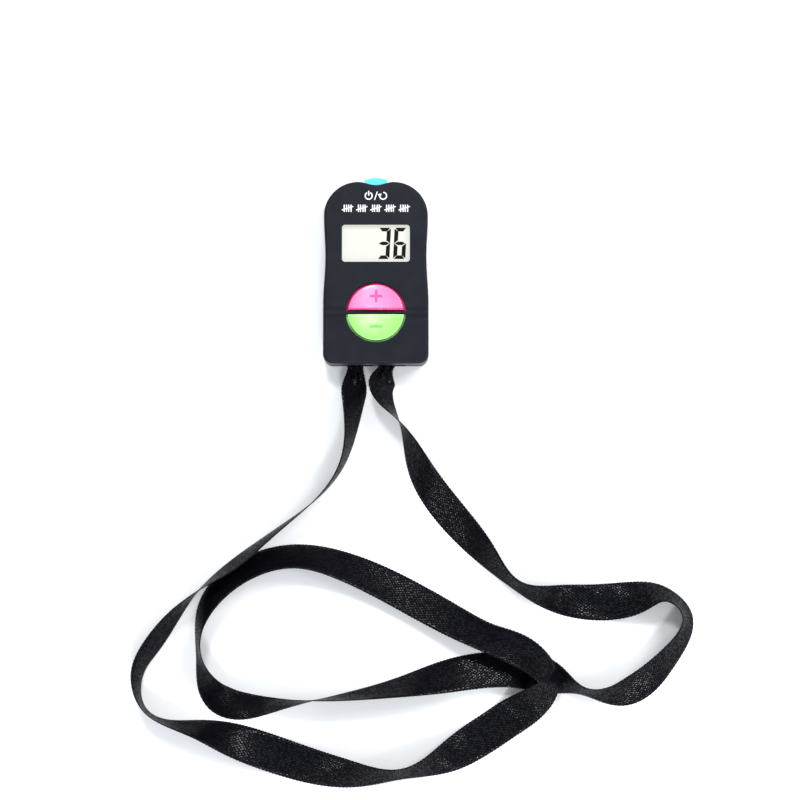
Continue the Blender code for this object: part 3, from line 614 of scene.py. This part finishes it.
def add_turned(bm, centre, profile, steps):
    """A solid turned about an upright axis through the centre: profile is (radius, z) pairs."""
    add_loft(bm, [at_z(circle(*centre, radius, steps), z) for radius, z in profile])


def quarter(steps):
    """The sines and cosines of the steps from 0 to 90 degrees."""
    return [(math.sin(a), math.cos(a)) for a in np.radians(np.linspace(0, 90, steps + 1))]


def lower_rim(points, low_z, radius, steps):
    """The loops of a round lower rim, from the bottom up to the full outline."""
    return [at_z(inset(points, radius * (1 - s)), low_z + radius * (1 - c)) for s, c in quarter(steps)]


def upper_rim(points, high_z, radius, steps):
    """The loops of a round upper rim, from the full outline up to the top."""
    return [at_z(inset(points, radius * (1 - c)), high_z - radius * (1 - s)) for s, c in quarter(steps)]


def add_moulding(bm, points, low_z, high_z, low_round, high_round):
    """A prism with a round lower and upper rim."""
    add_loft(bm, lower_rim(points, low_z, low_round, 5) + upper_rim(points, high_z, high_round, 5))


def add_mouth(bm, points, low_z, high_z, lip):
    """A cutter whose upper rim flares, so that it leaves a round lip on the surface that it cuts."""
    loops = [at_z(points, low_z)]
    for s, c in quarter(5):
        loops.append(at_z(inset(points, -lip * (1 - c)), high_z - lip * (1 - s)))
    loops.append(at_z(inset(points, -lip), high_z + 2 * OUTSIDE))
    add_loft(bm, loops)


def mirrored_x(places):
    return [(sign * x, y) for x, y in places for sign in (-1, 1)]


def raw_object(name, bm):
    bmesh.ops.recalc_face_normals(bm, faces=bm.faces)
    bmesh.ops.scale(bm, verts=bm.verts, vec=(MM, MM, MM))
    mesh = bpy.data.meshes.new(name)
    bm.to_mesh(mesh)
    bm.free()
    made = bpy.data.objects.new(name, mesh)
    bpy.context.scene.collection.objects.link(made)
    return made


def combine(piece, bm, operation="DIFFERENCE"):
    """Cuts or joins the mesh with another one and keeps the result."""
    tool = raw_object("tool", bm)
    modifier = piece.modifiers.new("combine", "BOOLEAN")
    modifier.operation = operation
    modifier.solver = "EXACT"
    modifier.object = tool
    done = bpy.data.meshes.new_from_object(piece.evaluated_get(bpy.context.evaluated_depsgraph_get()))
    piece.modifiers.clear()
    piece.data = done
    bpy.data.objects.remove(tool)


def smooth(piece):
    piece.data.shade_smooth()
    piece.data.set_sharp_from_angle(angle=math.radians(SHARP_ANGLE))
    normals = piece.modifiers.new("even_flats", "WEIGHTED_NORMAL")
    normals.keep_sharp = True
    normals.weight = 80


def dress(piece, material, body, replaced=()):
    """Gives a finished mesh its material, slot and body, and hides the CAD nodes that it stands for."""
    piece.data.materials.clear()
    piece.data.materials.append(material)
    smooth(piece)
    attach(piece, body)
    if replaced:
        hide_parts(*replaced)


# Case shells


def front_shell(materials):
    outline = case_outline()
    inner = inset(outline, WALL)
    loops = [at_z(inner, CEILING_Z), at_z(inner, PARTING_Z)]
    loops += lower_rim(outline, PARTING_Z, SEAM_ROUND, 3)
    loops += upper_rim(outline, FACE_Z, RIM_ROUND, 8)
    bm = bmesh.new()
    add_loft(bm, loops)
    shell = raw_object("front_shell", bm)

    openings = bmesh.new()
    window = rounded_rectangle(0.0, DISPLAY_Y, WINDOW_SIZE, WINDOW_CORNER)
    rebate = rounded_rectangle(0.0, DISPLAY_Y, WINDOW_REBATE, WINDOW_CORNER)
    inside_z = CEILING_Z - OUTSIDE
    add_mouth(openings, window, inside_z, FACE_Z, 0.3)
    for side in (1, -1):
        add_mouth(openings, half_disc(KEY_OPENING_RADIUS, BAR_HALF, side), inside_z, FACE_Z, 0.2)
    half = POWER_HIGH.x - POWER_FLANGE + GAP
    notch = (-half, POWER_HIGH.y - POWER_NOTCH_DEPTH, PARTING_Z - OUTSIDE)
    add_box(openings, notch, (half, TOP_Y + OUTSIDE, POWER_HIGH.z + GAP))
    combine(shell, openings)
    ledge = bmesh.new()
    add_prism(ledge, rebate, inside_z, REBATE_Z)
    combine(shell, ledge)

    grooves = bmesh.new()
    half_section = [(0.3, -0.32), (0.4, -0.24), (0.44, -0.1), (0.54, 0.0), (0.58, 0.4)]
    section = half_section + [(-y, z) for y, z in reversed(half_section)]
    for offset in SIDE_GROOVES:
        middle = KEY_CENTRE_Y + offset
        near, far = KEY_RADIUS + 0.2, FOOT_HALF + OUTSIDE
        for ends in ((-far, -near), (near, far)):
            add_loft(grooves, [[(x, middle + y, FACE_Z + z) for y, z in section] for x in ends])
    combine(shell, grooves)

    posts = bmesh.new()
    for place in mirrored_x(SCREW_X_Y):
        profile = ((FRONT_POST_RADIUS, FRONT_POST_Z), (FRONT_POST_RADIUS, CEILING_Z + 0.5))
        add_turned(posts, place, profile, 32)
    combine(shell, posts, "UNION")
    bores = bmesh.new()
    for place in mirrored_x(SCREW_X_Y):
        add_turned(bores, place, [(PILOT_RADIUS, z) for z in PILOT_Z], 24)
    combine(shell, bores)
    dress(shell, materials["case_plastic"], ROOT, ["front_case"])


def back_shell(materials):
    outline = case_outline()
    loops = lower_rim(outline, 0.0, RIM_ROUND, 8)
    loops += upper_rim(outline, BACK_RIM_Z, SEAM_ROUND, 3)
    lip = inset(outline, LIP_INSET)
    inner = inset(outline, BACK_INSET)
    loops += [at_z(lip, BACK_RIM_Z), at_z(lip, LIP_Z), at_z(inner, LIP_Z), at_z(inner, BACK_WALL)]
    bm = bmesh.new()
    add_loft(bm, loops)
    shell = raw_object("back_shell", bm)

    inside = bmesh.new()
    root_z = BACK_WALL - GAP
    for place in mirrored_x(SCREW_X_Y):
        add_turned(inside, place, ((BACK_POST_RADIUS, root_z), (BACK_POST_RADIUS, BACK_POST_Z)), 32)
    pad = ((-9.8, 1.5, root_z), (9.8, 23.0, 2.8))
    knot_wall = ((-17.0, -25.3, root_z), (17.0, -24.3, 6.3))
    for low, high in (pad, knot_wall):
        add_box(inside, low, high)
    combine(shell, inside, "UNION")
    ring = bmesh.new()
    add_turned(ring, (0.0, CELL_Y), [(BAY_RADIUS + 1.0, z) for z in (2.3, 4.8)], 64)
    combine(shell, ring, "UNION")

    half = DOOR_HALF + GAP
    reach = half + TONGUE_REACH
    low_y = DOOR_LOW.y - DOOR_TRAVEL - GAP
    high_y = DOOR_HIGH.y + GAP
    track = bmesh.new()
    add_prism(track, rectangle(-half, low_y, half, high_y), -OUTSIDE, TRACK_Z)
    combine(shell, track)
    grooves = bmesh.new()
    add_prism(grooves, rectangle(-reach, low_y, reach, high_y), 0.6, TRACK_Z)
    combine(shell, grooves)
    notches = bmesh.new()
    play = 0.2
    for side in (-1, 1):
        for tongue_y in TONGUE_Y:
            low = tongue_y - DOOR_TRAVEL - play
            ends = sorted((side * (half - play), side * reach))
            add_box(notches, (ends[0], low, -OUTSIDE), (ends[1], low + TONGUE_LENGTH + 2 * play, 0.9))
        slot_low = side * SLOT_CENTRE_X - SLOT_WIDTH / 2
        low = (slot_low, -TOP_Y - OUTSIDE, SLOT_Z[0])
        add_box(notches, low, (slot_low + SLOT_WIDTH, -TOP_Y + SLOT_DEPTH + 0.1, SLOT_Z[1]))
    bay_top = 6.0
    add_turned(notches, (0.0, CELL_Y), ((BAY_RADIUS, BACK_WALL), (BAY_RADIUS, bay_top)), 64)
    power_gap = ((-5.8, 26.5, BACK_RIM_Z), (5.8, TOP_Y + OUTSIDE, LIP_Z + OUTSIDE))
    add_box(notches, *power_gap)
    combine(shell, notches)
    holes = bmesh.new()
    sunk = [(2.7, -OUTSIDE), (2.7, -0.01), (2.35, 0.08), (2.15, 0.3), (2.1, 1.6)]
    bore = [(1.15, 1.6), (1.15, 7.4)]
    for place in mirrored_x(SCREW_X_Y):
        add_turned(holes, place, sunk + bore, 40)
    contact_gap = ((BAY_RADIUS - 0.4, 12.4, 2.2), (BAY_RADIUS + 1.3, 16.0, bay_top))
    add_box(holes, *contact_gap)
    combine(shell, holes)
    dress(shell, materials["case_plastic"], ROOT, ["back_case"])


# Keys


def dome_z(x, y):
    """Height of the shallow dome that both keys share."""
    return KEY_DOME_Z - (x * x + (y - KEY_CENTRE_Y) ** 2) / (2 * KEY_DOME_RADIUS)


def key(name, side, bevel, material, body, node):
    """A half-round key: flange, straight body, round rim, bevelled flat and a shallow dome."""
    flange = half_disc(KEY_FLANGE_RADIUS, KEY_FLANGE_FLAT, side)
    outline = half_disc(KEY_RADIUS, KEY_FLAT, side)
    low_z, high_z = KEY_FLANGE_Z
    loops = [at_z(flange, low_z), at_z(flange, high_z), at_z(outline, high_z)]
    for s, c in quarter(10):
        sink = KEY_RIM * (1 - s)
        flat = KEY_FLAT + bevel * (1 - c) * (0.35 + 0.65 * s)
        points = half_disc(KEY_RADIUS - KEY_RIM * (1 - c), flat, side)
        loops.append([(x, y, dome_z(x, y) - sink) for x, y in points])
    middle_y = KEY_CENTRE_Y + side * 4.6
    last = loops[-1]
    for share in (0.88, 0.74, 0.6, 0.46, 0.32, 0.18, 0.08):
        loop = [(x * share, middle_y + (y - middle_y) * share) for x, y, _ in last]
        loops.append([(x, y, dome_z(x, y)) for x, y in loop])
    bm = bmesh.new()
    add_loft(bm, loops)
    made = raw_object(name, bm)
    dress(made, material, body, [node])


def key_mark(name, bars, material, body):
    """A sign printed on a key: round-ended bars that follow the dome, as (start, end, width)."""
    bm = bmesh.new()
    for number, (start, end, width) in enumerate(bars):
        points = stroke(straight(start, end, 7), width, 4)
        heights = (-PRINT_ROOT, PRINT_RISE + PRINT_LAYER * number)
        add_loft(bm, [[(x, y, dome_z(x, y) + rise) for x, y in points] for rise in heights])
    made = raw_object(name, bm)
    dress(made, material, body)


def counting_keys(materials):
    key("plus_key_cap", 1, 0.95, materials["pink_plastic"], "plus_key", "plus_button")
    key("minus_key_cap", -1, 0.6, materials["green_plastic"], "minus_key", "minus_button")
    x, plus_y, minus_y = 0.15, -8.85, -19.8
    half, half_up = 1.9, 1.95
    level = ((x - half, plus_y), (x + half, plus_y), 0.95)
    upright = ((x, plus_y - half_up), (x, plus_y + half_up), 0.95)
    key_mark("plus_mark", [level, upright], materials["pink_ink"], "plus_key")
    level = ((x - half, minus_y), (x + half, minus_y), 1.0)
    key_mark("minus_mark", [level], materials["green_ink"], "minus_key")


def power_key(materials):
    wide = POWER_HIGH.x
    half = wide - POWER_FLANGE
    radius = (half * half + POWER_BULGE * POWER_BULGE) / (2 * POWER_BULGE)
    swing = math.degrees(math.asin(half / radius))
    tip = arc(0.0, POWER_HIGH.y - radius, radius, 90 - swing, 90 + swing, 40)
    low_y = POWER_LOW.y
    high_y = low_y + POWER_FLANGE_DEPTH
    flange = [(-half, high_y), (-wide, high_y), (-wide, low_y), (wide, low_y), (wide, high_y), (half, high_y)]
    bm = bmesh.new()
    add_moulding(bm, flange + tip, POWER_LOW.z, POWER_HIGH.z, 0.45, 0.45)
    made = raw_object("power_key_cap", bm)
    dress(made, materials["cyan_plastic"], "power_key", ["power_button"])


# Display


def window_lens(materials):
    bm = bmesh.new()
    flange_size, boss_size = [(x - 2 * GAP, y - 2 * GAP) for x, y in (WINDOW_REBATE, WINDOW_SIZE)]
    flange = rounded_rectangle(0.0, DISPLAY_Y, flange_size, WINDOW_CORNER)
    boss = rounded_rectangle(0.0, DISPLAY_Y, boss_size, 0.8)
    low_z, high_z = WINDOW_Z
    step_z = REBATE_Z - GAP
    loops = [at_z(flange, low_z), at_z(flange, step_z), at_z(boss, step_z)]
    add_loft(bm, loops + upper_rim(boss, high_z, 0.25, 5))
    made = raw_object("window_lens", bm)
    dress(made, materials["clear_plastic"], ROOT, ["display_window"])


def digit_segments(left, low, width, height, lit):
    """The lit segments of a seven-segment digit, by their usual letters a to g, with mitred ends."""
    pen = 1.45
    right, high, middle = left + width, low + height, low + height / 2
    gap = 0.05 + pen * 0.17
    past = 0.35

    def level(y, into):
        ends = [(left + gap, y), (right - gap, y)]
        return ends + [(right - gap - pen * 0.7, y + into), (left + gap + pen * 0.7, y + into)]

    def upright(x, into, low_y, high_y):
        return [(x, low_y + gap), (x, high_y - gap), (x + into, high_y - pen), (x + into, low_y + pen)]

    flat = pen * 0.92
    bar = pen * 0.44
    shapes = {
        "a": level(high, -flat),
        "b": upright(right, -pen, middle - past, high),
        "c": upright(right, -pen, low, middle + past),
        "d": level(low, flat),
        "e": upright(left, pen, low, middle + past),
        "f": upright(left, pen, middle - past, high),
        "g": [
            (left + gap, middle), (left + pen, middle - bar), (right - pen, middle - bar),
            (right - gap, middle), (right - pen, middle + bar), (left + pen, middle + bar),
        ],
    }
    return [shapes[letter] for letter in lit]


def display_digits(materials):
    low_y, width, height = 5.05, 4.45, 11.4
    slant = math.tan(math.radians(3.0))
    bm = bmesh.new()
    base = POLARISER_HIGH.z
    for left, lit in ((0.7, "abcdg"), (6.45, "acdefg")):
        for outline in digit_segments(left, low_y, width, height, lit):
            leaning = [(x + (y - DISPLAY_Y) * slant, y) for x, y in outline]
            add_prism(bm, leaning, base - 0.08, base + PRINT_RISE)
    made = raw_object("display_digits", bm)
    dress(made, materials["segment_ink"], ROOT)


# Printed marks on the face


def add_print(bm, points, layer=0):
    add_prism(bm, points, FACE_Z - PRINT_ROOT / 2, FACE_Z + 0.02 + PRINT_LAYER * layer)


def printed_marks(materials):
    """A power sign and a return arrow for the top key, and a row of tally strokes over the display."""
    bm = bmesh.new()
    pen, radius, centre_y = 0.42, 1.25, 27.75
    power_x, arrow_x = -2.6, 2.6
    add_print(bm, stroke(arc(power_x, centre_y, radius, 125, 415, 40), pen))
    add_print(bm, stroke(straight((power_x, centre_y + 0.2), (power_x, centre_y + 1.65)), pen), 1)
    add_print(bm, stroke(arc(arrow_x, centre_y, radius, 150, 440, 40), pen))
    tip_x, tip_y = arrow_x - radius - 0.02, centre_y + 0.15
    add_print(bm, [(tip_x + x, tip_y + y) for x, y in ((-0.72, 0.42), (0.1, -0.6), (0.78, 0.62))], 1)
    add_print(bm, stroke(straight((-0.45, centre_y - 1.4), (0.45, centre_y + 1.4)), 0.34))

    low_y, high_y = 22.05, 24.35
    middle_y = (low_y + high_y) / 2
    groups, spacing, step = 5, 5.1, 0.82
    for group in range(groups):
        middle = (group - (groups - 1) / 2) * spacing
        for number in range(4):
            x = middle + (number - 1.5) * step + 0.05 * math.sin(3.0 * number + group)
            add_print(bm, stroke(straight((x, low_y), (x, high_y)), 0.4))
        slash = straight((middle - 1.9, middle_y - 0.62), (middle + 1.9, middle_y + 0.62))
        add_print(bm, stroke(slash, 0.36), 1)
    made = raw_object("printed_marks", bm)
    dress(made, materials["white_ink"], ROOT)


# Back: door and screws


def battery_door(materials):
    bm = bmesh.new()
    size = (2 * DOOR_HALF, DOOR_HIGH.y - DOOR_LOW.y)
    centre_y = (DOOR_LOW.y + DOOR_HIGH.y) / 2
    add_moulding(bm, rounded_rectangle(0.0, centre_y, size, 0.5), DOOR_LOW.z, DOOR_HIGH.z, 0.25, 0.15)
    door = raw_object("battery_cover", bm)
    tongues = bmesh.new()
    reach = DOOR_HALF + TONGUE_REACH
    for low_y in TONGUE_Y:
        add_box(tongues, (-reach, low_y, 0.9), (reach, low_y + TONGUE_LENGTH, DOOR_HIGH.z))
    combine(door, tongues, "UNION")
    below_z = DOOR_LOW.z - OUTSIDE
    grip = bmesh.new()
    for number in range(7):
        points = rounded_rectangle(0.0, 8.4 + 1.05 * number, (8.0, 0.62), 0.3)
        add_prism(grip, points, below_z, DOOR_LOW.z + 0.3)
    arrow = [(0.0, 16.6), (1.7, 18.9), (-1.7, 18.9)]
    add_prism(grip, arrow, below_z, DOOR_LOW.z + 0.25)
    combine(door, grip)
    dress(door, materials["case_plastic"], "door", ["battery_door"])


def case_screws(materials):
    """Pan-head screws with a cross recess, one at each case screw of the frame."""
    for number, place in enumerate(mirrored_x(SCREW_X_Y), 1):
        bm = bmesh.new()
        head = [(1.8 * math.sin(a), 0.75 - 0.5 * math.cos(a)) for a in np.radians(np.linspace(12, 90, 9))]
        shank = [(0.65, 1.3), (0.65, 9.4), (0.3, 9.9)]
        add_turned(bm, place, [*head, (1.8, 1.3), *shank], 40)
        screw = raw_object(f"pan_screw_{number}", bm)
        turn = Matrix.Rotation(math.radians(17.0 + 31.0 * number), 2)
        arm, width = 1.05, 0.2
        for long_x, long_y in ((arm, width), (width, arm)):
            placed = []
            for s in (1.0, 0.8):
                corners = rectangle(-long_x * s, -long_y * s, long_x * s, long_y * s)
                turned = [turn @ Vector(corner) for corner in corners]
                placed.append([(place[0] + p.x, place[1] + p.y) for p in turned])
            cross = bmesh.new()
            add_loft(cross, [at_z(placed[0], -0.5), at_z(placed[0], 0.4), at_z(placed[1], 0.95)])
            combine(screw, cross)
        dress(screw, materials["steel"], ROOT, [f"case_screw_{number}"])


# Ribbon


def natural_spline(knots, values, places):
    """The smooth curve through the values, with no bending at its two ends."""
    count = len(knots)
    step = np.diff(knots)
    matrix = np.eye(count)
    right = np.zeros((count, values.shape[1]))
    for i in range(1, count - 1):
        matrix[i, i - 1 : i + 2] = step[i - 1], 2 * (step[i - 1] + step[i]), step[i]
        right[i] = 6 * ((values[i + 1] - values[i]) / step[i] - (values[i] - values[i - 1]) / step[i - 1])
    bend = np.linalg.solve(matrix, right)
    here = np.clip(np.searchsorted(knots, places, side="right") - 1, 0, count - 2)
    width = step[here][:, None]
    done = (places - knots[here])[:, None]
    left = width - done
    curve = (bend[here] * left**3 + bend[here + 1] * done**3) / (6 * width)
    curve += (values[here] / width - bend[here] * width / 6) * left
    return curve + (values[here + 1] / width - bend[here + 1] * width / 6) * done


def ribbon_middle(curve, half):
    """The middle line of the ribbon, as high as its half width and its roll make it stand.

    The square root takes the kink out of the height where the ribbon rolls over from flat.
    """
    tilt = np.sin(np.radians(curve[:, 3]))
    rise = half * (np.sqrt(tilt**2 + 0.0081) - 0.03)
    return np.column_stack([curve[:, :2], np.maximum(curve[:, 2], 0) + rise + RIBBON_THICKNESS / 2])


def ribbon_line():
    """Even stations along the ribbon: rows of x, y, height and roll, and how far along each one is."""
    route = np.array(ROUTE, float)
    route[:, :3] /= MM
    knots = np.append(0, np.cumsum(np.linalg.norm(np.diff(route[:, :2], axis=0), axis=1)))
    places = np.linspace(0, knots[-1], 6001)
    for _ in range(2):
        curve = natural_spline(knots, route, places)
        centre = ribbon_middle(curve, RIBBON_WIDTH / 2)
        walked = np.append(0, np.cumsum(np.linalg.norm(np.diff(centre, axis=0), axis=1)))
        count = 2 * int(walked[-1] / RIBBON_STEP / 2) + 1
        places = np.interp(np.linspace(0, walked[-1], count), walked, places)
    curve = natural_spline(knots, route, places)
    return curve, np.linspace(0, walked[-1], count)


def ease(share):
    share = np.clip(share, 0.0, 1.0)
    return share * share * (3 - 2 * share)


def ribbon(materials):
    """The neck ribbon, whose weave layer holds each vertex's place across and along the cloth."""
    curve, walked = ribbon_line()
    ahead = np.gradient(curve[:, :2], axis=0)
    ahead /= np.linalg.norm(ahead, axis=1)[:, None]
    roll = np.radians(curve[:, 3])
    across = np.column_stack([-ahead[:, 1] * np.cos(roll), ahead[:, 0] * np.cos(roll), np.sin(roll)])
    face = np.cross(np.column_stack([ahead, np.zeros(len(ahead))]), across)
    from_left = ease((walked - SLOT_DEPTH) / GATHER_LENGTHS[0])
    from_right = ease((walked[-1] - walked - SLOT_DEPTH) / GATHER_LENGTHS[1])
    gather = 1 - from_left * from_right
    half = RIBBON_WIDTH / 2 * (1 - GATHERED * gather)
    centre = ribbon_middle(curve, half)

    columns = 15
    shares = np.linspace(-1, 1, columns)
    cup = (0.3 * np.sin(walked / 17.0) + 0.22 * np.sin(walked / 7.3 + 1.0)) * (1 - gather)
    rows = []
    coordinates = []
    for k in range(len(walked)):
        picot = PICOT if k % 2 else 0.0
        offset = cup[k] * (1 - shares**2) + PLEAT * gather[k] * np.sin(2.5 * math.pi * shares + 0.8)
        reach = half[k] * shares
        reach[0] -= picot
        reach[-1] += picot
        middle = centre[k] + np.outer(reach, across[k]) + np.outer(offset, face[k])
        thick = np.full(columns, RIBBON_THICKNESS / 2)
        thick[[0, -1]] = 0.08
        thick[[1, -2]] = 0.19 if k % 2 else 0.15
        top = middle + thick[:, None] * face[k]
        bottom = middle - thick[:, None] * face[k]
        ring = np.concatenate([top, bottom[::-1]])
        ring[:, 2] = np.maximum(ring[:, 2], 0.02)
        rows.append(ring)
        width = RIBBON_WIDTH / 2 * shares
        place = np.column_stack([width, np.full(columns, walked[k]), np.zeros(columns)])
        coordinates.append(np.concatenate([place, place[::-1]]))

    bm = bmesh.new()
    weave = bm.verts.layers.float_vector.new("weave")
    for verts, places in zip(add_loft(bm, rows), coordinates):
        for vert, place in zip(verts, places):
            vert[weave] = place
    made = raw_object("neck_ribbon", bm)
    made.data.shade_smooth()
    made.data.materials.append(materials["ribbon"])
    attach(made, ROOT)
    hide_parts("strap")


# CAD nodes that stay


def finish_nodes(materials):
    """Nodes that nothing replaced keep their CAD shape, with a small bevel and their slot's material."""
    slots = {part["node"]: part["material_slot"] for part in frame["record"]["subparts"]}
    for name, node in frame["nodes"].items():
        if node.hide_render:
            continue
        node.data.materials.clear()
        node.data.materials.append(materials[slots[name]])
        bevel = node.modifiers.new("worn_edges", "BEVEL")
        bevel.width = 0.05 * MM
        bevel.segments = 2
        bevel.limit_method = "ANGLE"


make_camera()
materials = make_materials()
ribbon(materials)
front_shell(materials)
back_shell(materials)
counting_keys(materials)
power_key(materials)
window_lens(materials)
display_digits(materials)
printed_marks(materials)
battery_door(materials)
case_screws(materials)
finish_nodes(materials)
make_stage()

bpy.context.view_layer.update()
